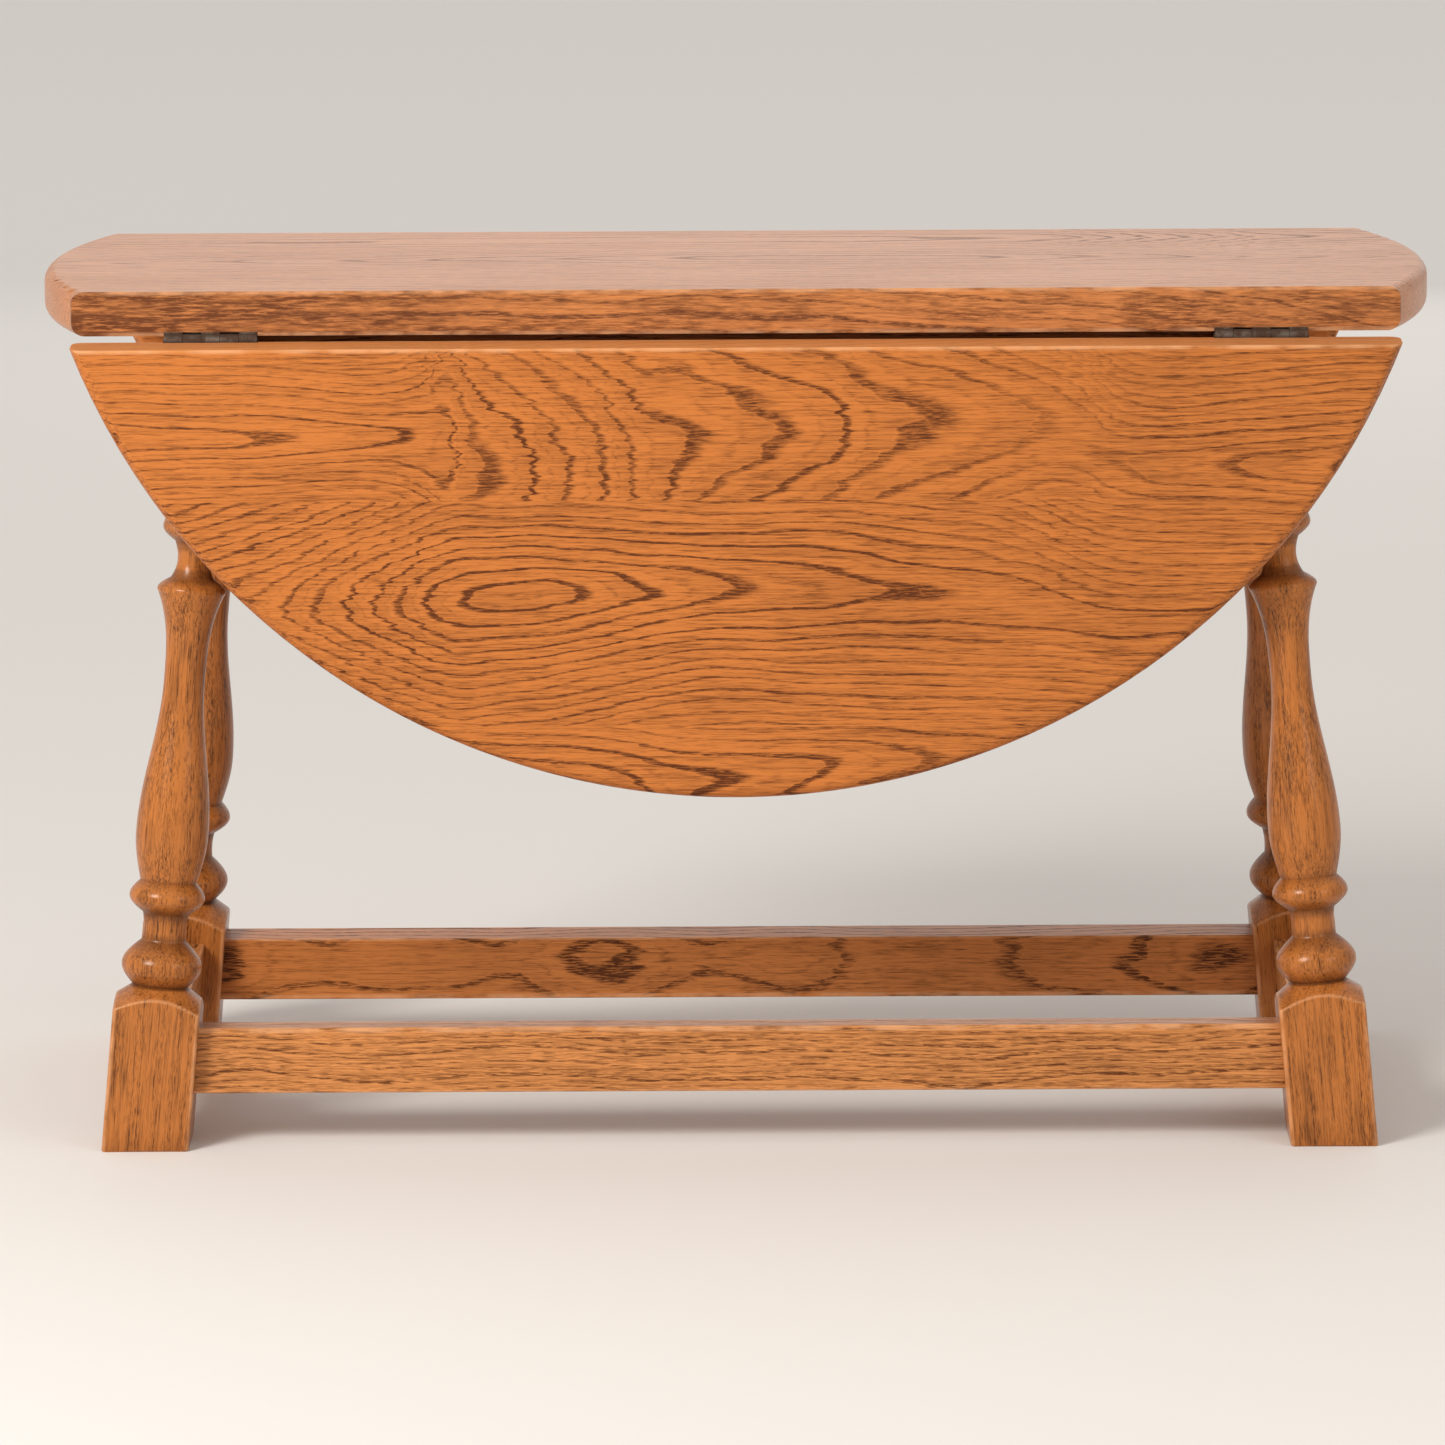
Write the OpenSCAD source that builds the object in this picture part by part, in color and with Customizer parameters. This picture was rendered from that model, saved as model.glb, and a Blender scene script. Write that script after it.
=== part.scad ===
// Oak occasional table: a fixed centre board, two hinged drop leaves that make the
// top round when they are raised, and a small joined frame on four turned, splayed legs.
// Millimetres, +Z up, X along the board, -Y is the front.
// The origin is on the floor, under the centre of the top.

/* [Top] */
// Diameter of the round top with both leaves raised
top_d = 760; // [740:1:780]
// Width of the fixed centre board
board_w = 262; // [258:1:266]
// Thickness of the board and of the leaves
top_t = 24; // [22:0.5:26]
// Height of the top surface above the floor
table_h = 468; // [464:1:480]
// Radius of the two rounded corners of the curved edge
edge_r = 6.5; // [3:0.5:9]
// Gap between the board and a raised leaf
joint_gap = 0.6; // [0.5:0.1:1.2]

/* [Legs] */
// Side of the square stock
leg_side = 47.2; // [45:0.2:49]
// Foot centres, distance along the table
feet_x = 646.8; // [640:0.2:654]
// Foot centres, distance across the table
feet_y = 258; // [256:0.5:262]
// Lean of each leg towards the middle, along the table, in degrees
splay_x = 5.2; // [4.8:0.1:5.6]
// Lean of each leg towards the middle, across the table, in degrees
splay_y = 3.95; // [3.8:0.05:4.2]

/* [Rails] */
// Height of the stretchers' lower edge above the floor
stretcher_z = 28.7; // [24:0.1:32]
// Depth of the stretchers, top edge to bottom edge
stretcher_h = 35.7; // [30:0.1:38]
// Thickness of the stretchers
stretcher_t = 25; // [20:1:28]
// Depth of the aprons under the top
apron_h = 55; // [45:1:62]
// Thickness of the aprons
apron_t = 20; // [16:1:24]
// Width of the cross rail that carries the pivot bolt
pivot_rail_w = 70; // [60:1:90]
// Thickness of the cross rail
pivot_rail_t = 22; // [20:1:26]

/* [Hinges] */
// Distance of each hinge's centre from the middle of the board
hinge_x = 282; // [270:1:290]
// Length of each hinge
hinge_len = 50; // [45:5:60]
// Width of each flap, from the pin
hinge_flap_w = 28; // [24:1:34]
// Thickness of the flaps
hinge_flap_t = 2; // [1.6:0.2:2.4]
// Radius of the knuckles
knuckle_r = 3.5; // [3.4:0.1:3.8]
// Height of the underside of the top above the pin's axis
pin_drop = 2.5; // [2.4:0.1:2.7]

/* [Hidden] */
$fn = 96;
EPS = 0.05;
BIG = 1200;

top_r = top_d / 2;
under_z = table_h - top_t;              // underside of the board, and top of the frame
foot = [feet_x / 2, feet_y / 2];
half_side = leg_side / 2;
leg_len = under_z / (cos(splay_x) * cos(splay_y));   // along the leg's own axis

tenon_t = 8;                            // every tenon's thickness
tenon_tip = 6;                          // from a leg's axis to the end of a tenon
mortise_gap = 0.1;                      // glue line on each side of a tenon
tenon_shoulder = 4;                     // how much lower than its rail a tenon is, each edge

// Turned outline: heights along the leg's axis, and radii
block_low = 87.3;                       // where the lower block's shoulder meets the turning
block_high = leg_len - 100.7;           // the same on the upper block
shoulder_in = 15;                       // radius at which a shoulder starts
shoulder_out = 34;                      // radius outside a block's corners
shoulder_h = 13.1;                      // height between the two
turn_step = 0.125;                      // fraction of a moulding between outline points

// The hinge line, front side: [y, z] of the pins
pin_y = -(board_w / 2 + joint_gap / 2);
pin_z = under_z - pin_drop;
pin_r = 1.5;
leaf_bore_gap = 0.06;                   // running clearance of the leaf's knuckles
board_bore_gap = 0.02;                  // the pin is tight in the board's knuckles
knuckles = 5;
knuckle_gap = 0.2;                      // end play between two knuckles
flap_clear = 0.35;                      // from a flap to the other flap's knuckles
recess_gap = 0.2;                       // round a flap, in the wood

// A hanging leaf leans inwards until it rests on the lower ends of the upper blocks
leaf_clear = 0.3;
face_low = shoulder_h * (half_side - shoulder_in) / (shoulder_out - shoulder_in);
rest_z = leg_z(block_high + face_low);  // height of that contact
rest_y = foot[1] - rest_z * tan(splay_y) + half_side / cos(splay_y);
rest_in = -pin_y - rest_y;              // how far inside the pins it is
rest_down = pin_z - rest_z;             // how far below them
leaf_lean = atan2(rest_in, rest_down)
          + asin((pin_drop - leaf_clear) / norm([rest_down, rest_in]));
fold = 90 + leaf_lean;                  // from level to hanging

screw_r = 1.9;
screw_head_r = 3.7;
screw_head_h = 1.7;
screw_len = 14;
screw_spots = [[-17, 9], [17, 9], [0, 19]];   // [along, out from the pin]

bolt_r = 4;
bolt_head_r = 7.5;
bolt_head_h = 5.3;
washer_r = 12;
washer_t = 1.6;
insert_r = 6.5;
insert_h = 14;

OAK = [0.78, 0.47, 0.24];
OAK_DARK = [0.66, 0.38, 0.19];
STEEL = [0.62, 0.6, 0.57];
BRASS = [0.75, 0.6, 0.32];

SIDES = ["front", "rear"];              // -Y, +Y
ENDS = ["left", "right"];               // -X, +X
CORNERS = [for (s = SIDES, e = ENDS) str(s, "_", e)];
SIGN = [-1, 1];

// ---- Helpers ----------------------------------------------------------------

// Height above the floor of a point on a leg's axis
function leg_z(along) = along * cos(splay_x) * cos(splay_y);

// Puts a vertical post at one foot and leans it inwards
module at_leg(sx, sy) {
    translate([sx * foot[0], sy * foot[1], 0])
        rotate([sy * splay_y, -sx * splay_x, 0])
            children();
}

// The square stock of one leg, endless
module leg_stock(sx, sy) {
    at_leg(sx, sy) cube([leg_side, leg_side, BIG * 2], center = true);
}

// The slab between the floor and the underside of the top
module under_top() {
    translate([-BIG / 2, -BIG / 2, 0]) cube([BIG, BIG, under_z]);
}

// A bar along X at one side of the frame, leaning with the legs of that side
module long_bar(sy, z_mid, height, thick, half_len) {
    translate([0, sy * (foot[1] - z_mid * tan(splay_y)), z_mid])
        rotate([sy * splay_y, 0, 0])
            cube([2 * half_len, thick, height], center = true);
}

// A bar along Y at one end of the frame, leaning with the legs of that end
module end_bar(sx, z_mid, height, thick, half_len) {
    translate([sx * (foot[0] - z_mid * tan(splay_x)), 0, z_mid])
        rotate([0, -sx * splay_x, 0])
            cube([thick, 2 * half_len, height], center = true);
}

// Half length of a rail's tenons, at a height: they stop short of the legs' axes
function tenon_reach(axis, z_mid, lean) = foot[axis] - z_mid * tan(lean) - tenon_tip;

module long_tenons(sy, z_mid, height, grow) {
    long_bar(sy, z_mid, height - 2 * tenon_shoulder + 2 * grow, tenon_t + 2 * grow,
             tenon_reach(0, z_mid, splay_x) + grow);
}

module end_tenons(sx, z_mid, height, grow) {
    end_bar(sx, z_mid, height - 2 * tenon_shoulder + 2 * grow, tenon_t + 2 * grow,
            tenon_reach(1, z_mid, splay_y) + grow);
}

// Each rail's middle height and depth
stretcher_mid = stretcher_z + stretcher_h / 2;
apron_mid = under_z - apron_h / 2;

// ---- Top --------------------------------------------------------------------

// The whole round top, with rounded corners on its curved edge
module top_disc() {
    translate([0, 0, under_z])
        rotate_extrude()
            union() {
                square([top_r - edge_r, top_t]);
                translate([0, edge_r]) square([top_r, top_t - 2 * edge_r]);
                for (z = [edge_r, top_t - edge_r])
                    translate([top_r - edge_r, z])
                        intersection() {
                            circle(r = edge_r);
                            translate([-edge_r / 2, -edge_r])
                                square([2 * edge_r, 2 * edge_r]);
                        }
            }
}

// Housings in the underside for the flaps of one side's hinges; out is -1 on the
// board's side of the pins and 1 on the leaf's side, both drawn level
module flap_housings(sy, out) {
    for (sx = SIGN)
        translate([sx * hinge_x, sy * -pin_y, pin_z + pin_drop])
            mirror([0, sy * out < 0 ? 1 : 0, 0])
                translate([-hinge_len / 2 - recess_gap, -1, -EPS])
                    cube([hinge_len + 2 * recess_gap, hinge_flap_w + 1 + recess_gap,
                          hinge_flap_t + EPS]);
}

// Pilot holes of the screws of one side's flaps
module pilot_holes(sy, out) {
    for (sx = SIGN, s = screw_spots)
        translate([sx * hinge_x + s[0], sy * (-pin_y + out * s[1]), under_z])
            cylinder(r = screw_r + EPS, h = screw_len);
}

module top_board() {
    color(OAK)
        difference() {
            intersection() {
                top_disc();
                cube([BIG, board_w, BIG], center = true);
            }
            for (sy = SIGN) {
                flap_housings(sy, -1);
                pilot_holes(sy, -1);
            }
            translate([0, 0, under_z - EPS]) cylinder(r = insert_r, h = insert_h + EPS);
        }
}

// Turns what is drawn level, on one side, down to its hanging rest about the pins
module hang(sy) {
    translate([0, sy * -pin_y, pin_z])
        rotate([-sy * fold, 0, 0])
            translate([0, sy * pin_y, -pin_z])
                children();
}

module leaf(sy) {
    leaf_edge = board_w / 2 + joint_gap;
    color(OAK)
        hang(sy)
            difference() {
                intersection() {
                    top_disc();
                    translate([-BIG / 2, sy > 0 ? leaf_edge : -leaf_edge - BIG, 0])
                        cube([BIG, BIG, BIG]);
                }
                flap_housings(sy, 1);
                pilot_holes(sy, 1);
            }
}

// ---- Legs -------------------------------------------------------------------

// Half of a bead, from height a to b: the radius swells from base by rise
function swell(a, b, base, rise) = [
    for (u = [0:turn_step:1]) [base + rise * sin(90 * u), a + (b - a) * u]
];

// The other half: it starts where the swell ended, and falls back to base
function fall(a, b, base, rise) = [
    for (u = [turn_step:turn_step:1]) [base + rise * cos(90 * u), a + (b - a) * u]
];

// The long sweep from the widest part of the vase up to its waist
function sweep(a, b, wide, waist) = [
    for (u = [turn_step / 2:turn_step / 2:1])
        [waist + (wide - waist) * (1 + cos(180 * u)) / 2, a + (b - a) * u]
];

// The flare from the waist out to the collar
function flare(a, b, waist, wide) = [
    for (u = [turn_step:turn_step:1])
        [waist + (wide - waist) * pow(u, 3), a + (b - a) * u]
];

// A hollow from height a to b, with radii at its two ends and at its floor
function hollow(a, b, low, floor_r, high) = [
    for (u = [-1:2 * turn_step:1])
        [floor_r + ((u < 0 ? low : high) - floor_r) * u * u, (a + b) / 2 + (b - a) / 2 * u]
];

// The turned part as [radius, height]: lower bead, neck, upper bead, vase, waist, collar,
// neck and top bead
function turning() = concat(
    [[0, block_low - 1]],
    swell(block_low - 1, 98.5, shoulder_in - 0.8, 7.7),
    fall(98.5, 111.5, 12.6, 9.3),
    hollow(112, 126.5, 12.2, 11.7, 12.4),
    swell(127, 136, 12.6, 8),
    fall(136, 144.6, 15.2, 5.4),
    swell(145, 171, 15.4, 4.3),
    sweep(171, 255, 19.7, 11.1),
    flare(255, 304, 11.1, 18.7),
    fall(304, 310.5, 11.8, 6.9),
    hollow(311, 330, 11.5, 8.8, 10.8),
    swell(330.4, 338, 10.9, 7.2),
    fall(338, block_high + 1, 14.2, 3.9),
    [[0, block_high + 1]]
);

// Lathe form that ends a square block: a column with a cone on its end
module shoulder(at, dir) {
    rotate_extrude()
        polygon([
            [0, at],
            [shoulder_in, at],
            [shoulder_out, at + dir * shoulder_h],
            [shoulder_out, at + dir * leg_len],
            [0, at + dir * leg_len]
        ]);
}

module square_block(at, dir) {
    intersection() {
        shoulder(at, dir);
        cube([leg_side, leg_side, 4 * leg_len], center = true);
    }
}

module leg(sx, sy) {
    color(OAK_DARK)
        difference() {
            intersection() {
                at_leg(sx, sy)
                    union() {
                        square_block(block_low, -1);
                        rotate_extrude() polygon(turning());
                        square_block(block_high, 1);
                    }
                under_top();
            }
            long_tenons(sy, stretcher_mid, stretcher_h, mortise_gap);
            end_tenons(sx, stretcher_mid, stretcher_h, mortise_gap);
            long_tenons(sy, apron_mid, apron_h, mortise_gap);
            end_tenons(sx, apron_mid, apron_h, mortise_gap);
        }
}

// ---- Rails ------------------------------------------------------------------

// A rail and its two tenons; extra is what is planed off afterwards, edge to edge
module long_rail(sy, z_mid, height, thick, extra = 0) {
    union() {
        difference() {
            long_bar(sy, z_mid, height + extra, thick, foot[0] - z_mid * tan(splay_x));
            for (sx = SIGN) leg_stock(sx, sy);
        }
        long_tenons(sy, z_mid, height, 0);
    }
}

module end_rail(sx, z_mid, height, thick, extra = 0) {
    union() {
        difference() {
            end_bar(sx, z_mid, height + extra, thick, foot[1] - z_mid * tan(splay_y));
            for (sy = SIGN) leg_stock(sx, sy);
        }
        end_tenons(sx, z_mid, height, 0);
    }
}

module stretcher_long(sy) {
    color(OAK) long_rail(sy, stretcher_mid, stretcher_h, stretcher_t);
}

module stretcher_end(sx) {
    color(OAK) end_rail(sx, stretcher_mid, stretcher_h, stretcher_t);
}

// The aprons are sawn a little deeper and planed flush with the tops of the legs
planed = 2;

module apron_long(sy) {
    color(OAK_DARK)
        difference() {
            intersection() {
                long_rail(sy, apron_mid, apron_h, apron_t, planed);
                under_top();
            }
            pivot_tenons(mortise_gap);
        }
}

module apron_end(sx) {
    color(OAK_DARK)
        intersection() {
            end_rail(sx, apron_mid, apron_h, apron_t, planed);
            under_top();
        }
}

// ---- Pivot ------------------------------------------------------------------

pivot_mid = under_z - pivot_rail_t / 2;
apron_y = foot[1] - pivot_mid * tan(splay_y);   // middle of a long apron, at the rail

module pivot_tenons(grow) {
    translate([0, 0, pivot_mid])
        cube([pivot_rail_w - 2 * tenon_shoulder + 2 * grow, 2 * (apron_y + grow),
              tenon_t + 2 * grow], center = true);
}

module pivot_rail() {
    color(OAK_DARK)
        difference() {
            union() {
                difference() {
                    translate([0, 0, pivot_mid])
                        cube([pivot_rail_w, 2 * apron_y, pivot_rail_t], center = true);
                    for (sy = SIGN)
                        long_bar(sy, apron_mid, apron_h + 10, apron_t, pivot_rail_w);
                }
                pivot_tenons(0);
            }
            translate([0, 0, under_z - pivot_rail_t - 1])
                cylinder(r = bolt_r + 0.2, h = pivot_rail_t + 2);
            translate([0, 0, under_z - washer_t]) cylinder(r = washer_r + 0.3, h = washer_t + 1);
        }
}

// Two flat washers: one under the bolt's head, one let into the rail under the board
module pivot_washers() {
    color(STEEL)
        for (z = [under_z - pivot_rail_t - washer_t, under_z - washer_t])
            translate([0, 0, z])
                difference() {
                    cylinder(r = washer_r, h = washer_t);
                    translate([0, 0, -1]) cylinder(r = bolt_r + 0.2, h = washer_t + 2);
                }
}

module pivot_bolt() {
    head_z = under_z - pivot_rail_t - washer_t - bolt_head_h;
    color(STEEL)
        translate([0, 0, head_z])
            union() {
                cylinder(r = bolt_head_r, h = bolt_head_h, $fn = 6);
                cylinder(r = bolt_r, h = bolt_head_h + washer_t + pivot_rail_t + insert_h - 2);
            }
}

// Threaded insert that holds the bolt in the board
module pivot_insert() {
    color(BRASS)
        translate([0, 0, under_z])
            difference() {
                cylinder(r = insert_r, h = insert_h);
                translate([0, 0, -1]) cylinder(r = bolt_r + EPS, h = insert_h - 1 + EPS);
            }
}

// ---- Hinges -----------------------------------------------------------------

// Everything of a hinge is drawn level, round its own pin, with the board on +Y
knuckle_pitch = hinge_len / knuckles;

module knuckle(i, grow_r, grow_len) {
    translate([-hinge_len / 2 + (i + 0.5) * knuckle_pitch, 0, 0])
        rotate([0, 90, 0])
            cylinder(r = knuckle_r + grow_r, h = knuckle_pitch - knuckle_gap + grow_len,
                     center = true);
}

// One flap: a plate let into the wood, its own knuckles, and clearance round the others;
// first is 0 for the board's flap and 1 for the leaf's, which is on -Y
module flap(first, bore_gap) {
    difference() {
        union() {
            for (i = [first:2:knuckles - 1]) knuckle(i, 0, 0);
            mirror([0, first, 0])
                translate([-hinge_len / 2, 0, pin_drop])
                    cube([hinge_len, hinge_flap_w, hinge_flap_t]);
        }
        for (i = [1 - first:2:knuckles - 1])
            translate([-hinge_len / 2 + i * knuckle_pitch - knuckle_gap / 2,
                       -knuckle_r - flap_clear, -knuckle_r])
                cube([knuckle_pitch + knuckle_gap, 2 * (knuckle_r + flap_clear),
                      3 * knuckle_r]);
        rotate([0, 90, 0])
            cylinder(r = pin_r + bore_gap, h = hinge_len + 2, center = true);
        for (s = screw_spots)
            translate([s[0], s[1] * (first == 0 ? 1 : -1), pin_drop])
                union() {
                    translate([0, 0, -1])
                        cylinder(r = screw_r + 0.2, h = hinge_flap_t + 2);
                    translate([0, 0, -EPS])
                        cylinder(r1 = screw_head_r + 0.1, r2 = screw_r + 0.2,
                                 h = screw_head_h + EPS);
                }
    }
}

module hinge_screw() {
    difference() {
        union() {
            cylinder(r1 = screw_head_r, r2 = screw_r, h = screw_head_h);
            cylinder(r = screw_r, h = screw_len - 4);
            translate([0, 0, screw_len - 4]) cylinder(r1 = screw_r, r2 = 0.3, h = 3.5);
        }
        translate([-screw_head_r - 1, -0.5, -1]) cube([2 * screw_head_r + 2, 1, 1.8]);
    }
}

// Moves a hinge to its place at one corner of the board
module at_hinge(sx, sy) {
    translate([sx * hinge_x, sy * -pin_y, pin_z])
        mirror([0, sy > 0 ? 1 : 0, 0])
            children();
}

module hinge_board_flap(sx, sy) {
    color(STEEL) at_hinge(sx, sy) flap(0, board_bore_gap);
}

module hinge_leaf_flap(sx, sy) {
    color(STEEL) hang(sy) at_hinge(sx, sy) flap(1, leaf_bore_gap);
}

module hinge_pin(sx, sy) {
    color(STEEL)
        at_hinge(sx, sy)
            rotate([0, 90, 0]) cylinder(r = pin_r, h = hinge_len + 1, center = true);
}

module flap_screws(sx, sy, out) {
    at_hinge(sx, sy)
        for (s = screw_spots)
            translate([s[0], out * s[1], pin_drop]) hinge_screw();
}

module board_hinge_screws() {
    color(STEEL)
        for (sx = SIGN, sy = SIGN) flap_screws(sx, sy, 1);
}

module leaf_hinge_screws(sy) {
    color(STEEL)
        hang(sy)
            for (sx = SIGN) flap_screws(sx, sy, -1);
}

// ---- The table --------------------------------------------------------------

top_board();
pivot_rail();
pivot_bolt();
pivot_washers();
pivot_insert();
board_hinge_screws();

for (i = [0, 1]) {
    leaf(SIGN[i]);
    apron_long(SIGN[i]);
    apron_end(SIGN[i]);
    stretcher_long(SIGN[i]);
    stretcher_end(SIGN[i]);
    leaf_hinge_screws(SIGN[i]);
}

for (s = [0, 1], e = [0, 1]) {
    corner = str(SIDES[s], "_", ENDS[e]);
    leg(SIGN[e], SIGN[s]);
    hinge_board_flap(SIGN[e], SIGN[s]);
    hinge_leaf_flap(SIGN[e], SIGN[s]);
    hinge_pin(SIGN[e], SIGN[s]);
}
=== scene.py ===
"""Looks of the oak drop leaf table: eased solids, turned legs, oak and metal, light, camera."""

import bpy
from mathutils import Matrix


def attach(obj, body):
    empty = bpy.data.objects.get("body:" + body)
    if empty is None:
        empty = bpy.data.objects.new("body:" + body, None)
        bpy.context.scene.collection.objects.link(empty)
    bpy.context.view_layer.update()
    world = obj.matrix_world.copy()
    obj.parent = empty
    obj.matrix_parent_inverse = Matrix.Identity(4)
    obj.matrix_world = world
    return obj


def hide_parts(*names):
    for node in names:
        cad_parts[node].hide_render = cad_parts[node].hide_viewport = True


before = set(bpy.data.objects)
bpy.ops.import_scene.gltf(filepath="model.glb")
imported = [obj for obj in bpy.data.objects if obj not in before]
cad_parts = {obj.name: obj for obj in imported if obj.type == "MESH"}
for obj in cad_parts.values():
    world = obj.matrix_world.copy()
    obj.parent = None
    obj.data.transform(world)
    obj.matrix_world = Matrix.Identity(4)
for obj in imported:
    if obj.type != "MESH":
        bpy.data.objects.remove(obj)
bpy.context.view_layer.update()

import math
from dataclasses import dataclass

import bmesh
import bpy
import numpy as np
from mathutils import Matrix, Vector

MM = 0.001
scene = bpy.context.scene

# ---- Sizes, in millimetres, the same as the CAD's --------------------------------------

BOARD_W, TOP_T, UNDER_Z = 262.0, 24.0, 444.0
LEAF_EDGE = 131.6                       # from the middle to a raised leaf's straight edge
PIN_Y, PIN_Z, FOLD = 131.3, 441.5, 93.1248
FOOT_X, FOOT_Y, HALF_SIDE = 323.4, 129.0, 23.6
SPLAY_X, SPLAY_Y = 5.2, 3.95            # lean of the legs, degrees
LEG_LEN = UNDER_Z / (math.cos(math.radians(SPLAY_X)) * math.cos(math.radians(SPLAY_Y)))
BLOCK_LOW, BLOCK_HIGH = 87.3, LEG_LEN - 100.7
SHOULDER_IN, SHOULDER_OUT, SHOULDER_H = 15.0, 34.0, 13.1
STRETCHER_MID, STRETCHER_H, STRETCHER_T = 46.55, 35.7, 25.0
APRON_MID, APRON_H, APRON_T = 416.5, 55.0, 20.0
PIVOT_RAIL_MID = 433.0
SIDES = {"front": -1, "rear": 1}
ENDS = {"left": -1, "right": 1}
CORNERS = [(s, e) for s in SIDES for e in ENDS]


# ---- Node arithmetic ---------------------------------------------------------------------

class Num:
    """A number in a material's node tree. Arithmetic on it adds Math nodes."""

    def __init__(self, tree, socket):
        self.tree, self.socket = tree, socket

    def op(self, operation, *others, clamp=False):
        node = self.tree.nodes.new("ShaderNodeMath")
        node.operation, node.use_clamp = operation, clamp
        for slot, value in zip(node.inputs, (self, *others)):
            plug(self.tree, slot, value)
        return Num(self.tree, node.outputs[0])

    def __add__(self, other):
        return self.op("ADD", other)

    def __sub__(self, other):
        return self.op("SUBTRACT", other)

    def __mul__(self, other):
        return self.op("MULTIPLY", other)

    def __truediv__(self, other):
        return self.op("DIVIDE", other)

    def __rsub__(self, other):
        return (self * -1.0).op("ADD", other)

    __radd__, __rmul__ = __add__, __mul__

    def sqrt(self):
        return self.op("SQRT")

    def floor(self):
        return self.op("FLOOR")

    def fract(self):
        return self.op("FRACT")

    def abs(self):
        return self.op("ABSOLUTE")

    def most(self, other):
        return self.op("MAXIMUM", other)

    def least(self, other):
        return self.op("MINIMUM", other)

    def over(self, other):
        return self.op("GREATER_THAN", other)

    def clamp(self):
        return self.op("ADD", 0.0, clamp=True)

    def ramp(self, lo, hi, a=0.0, b=1.0):
        """Runs smoothly from a to b while this number goes from lo to hi."""
        node = self.tree.nodes.new("ShaderNodeMapRange")
        node.interpolation_type = "SMOOTHSTEP"
        for name, value in (("Value", self), ("From Min", lo), ("From Max", hi),
                            ("To Min", a), ("To Max", b)):
            plug(self.tree, node.inputs[name], value)
        return Num(self.tree, node.outputs["Result"])

    def curve(self, points):
        """A smooth line through points (x, y), which are in order of x."""
        xs, ys = zip(*points)
        x0, x1, y0, y1 = xs[0], xs[-1], min(ys), max(ys)
        rise = max(y1 - y0, 1e-6)
        node = self.tree.nodes.new("ShaderNodeFloatCurve")
        line = node.mapping.curves[0]
        places = [((x - x0) / (x1 - x0), (y - y0) / rise) for x, y in points]
        for place in places[1:-1]:
            line.points.new(*place)
        line.points[0].location, line.points[-1].location = places[0], places[-1]
        for point in line.points:
            point.handle_type = "AUTO_CLAMPED"
        node.mapping.update()
        plug(self.tree, node.inputs["Value"], (self - x0) / (x1 - x0))
        return Num(self.tree, node.outputs[0]) * rise + y0

    def bell(self, middle, width):
        """1 at middle, falling to 0 on both sides over about width."""
        away = (self - middle) / width
        return (away * away * -1.0).op("EXPONENT")


def plug(tree, slot, value):
    """Feeds a slot from a Num or a socket, or sets it to a plain value."""
    if isinstance(value, Num):
        tree.links.new(value.socket, slot)
    elif isinstance(value, bpy.types.NodeSocket):
        tree.links.new(value, slot)
    else:
        slot.default_value = value


def vector(tree, *parts):
    node = tree.nodes.new("ShaderNodeCombineXYZ")
    for slot, value in zip(node.inputs, parts):
        plug(tree, slot, value)
    return node.outputs[0]


def noise(tree, place, detail=2.0, rough=0.5):
    """Noise from 0 to 1, about one feature per unit of place."""
    node = tree.nodes.new("ShaderNodeTexNoise")
    plug(tree, node.inputs["Vector"], place)
    for name, value in (("Scale", 1.0), ("Detail", detail), ("Roughness", rough)):
        node.inputs[name].default_value = value
    return Num(tree, node.outputs[0])


def wood_noise(place, size, shift=(0, 0, 0), detail=2.0, rough=0.5):
    """Noise with features of a size in mm along, across and through the wood, moved by as
    many features as shift says."""
    tree = place[0].tree
    parts = [axis / length + by for axis, length, by in zip(place, size, shift)]
    return noise(tree, vector(tree, *parts), detail, rough)


def chance(tree, value):
    """A fixed random number from 0 to 1 for each whole value."""
    node = tree.nodes.new("ShaderNodeTexWhiteNoise")
    node.noise_dimensions = "1D"
    plug(tree, node.inputs["W"], value)
    return Num(tree, node.outputs["Value"])


def colour_mix(tree, share, a, b):
    """Colour a, going to b as share goes from 0 to 1."""
    node = tree.nodes.new("ShaderNodeMix")
    node.data_type = "RGBA"
    plug(tree, node.inputs[0], share)
    plug(tree, node.inputs[6], a)
    plug(tree, node.inputs[7], b)
    return node.outputs[2]


def rgb(red, green, blue):
    """A screen colour, 0 to 255, as the linear colour that a shader takes."""
    def linear(c):
        c /= 255.0
        return c / 12.92 if c <= 0.04045 else ((c + 0.055) / 1.055) ** 2.4
    return (linear(red), linear(green), linear(blue), 1.0)


def parts_of(tree, socket):
    """The three numbers of a vector socket."""
    split = tree.nodes.new("ShaderNodeSeparateXYZ")
    tree.links.new(socket, split.inputs[0])
    return [Num(tree, out) for out in split.outputs]


def attribute(tree, name):
    """A number that stamp() stored on the mesh."""
    node = tree.nodes.new("ShaderNodeAttribute")
    node.attribute_name = name
    return Num(tree, node.outputs["Fac"])


def vector_attribute(tree, name):
    """The three numbers of a vector that stamp() stored on the mesh."""
    node = tree.nodes.new("ShaderNodeAttribute")
    node.attribute_name = name
    return parts_of(tree, node.outputs["Vector"])


def new_material(name):
    """A material, its node tree and its shader."""
    material = bpy.data.materials.new(name)
    material.use_nodes = True
    tree = material.node_tree
    return material, tree, tree.nodes["Principled BSDF"]


def add_bump(tree, shader, height, strength, depth):
    """Relief of a depth in mm, where height is 0 to 1."""
    bump = tree.nodes.new("ShaderNodeBump")
    bump.inputs["Strength"].default_value = strength
    bump.inputs["Distance"].default_value = depth * MM
    plug(tree, bump.inputs["Height"], height)
    tree.links.new(bump.outputs[0], shader.inputs["Normal"])


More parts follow.
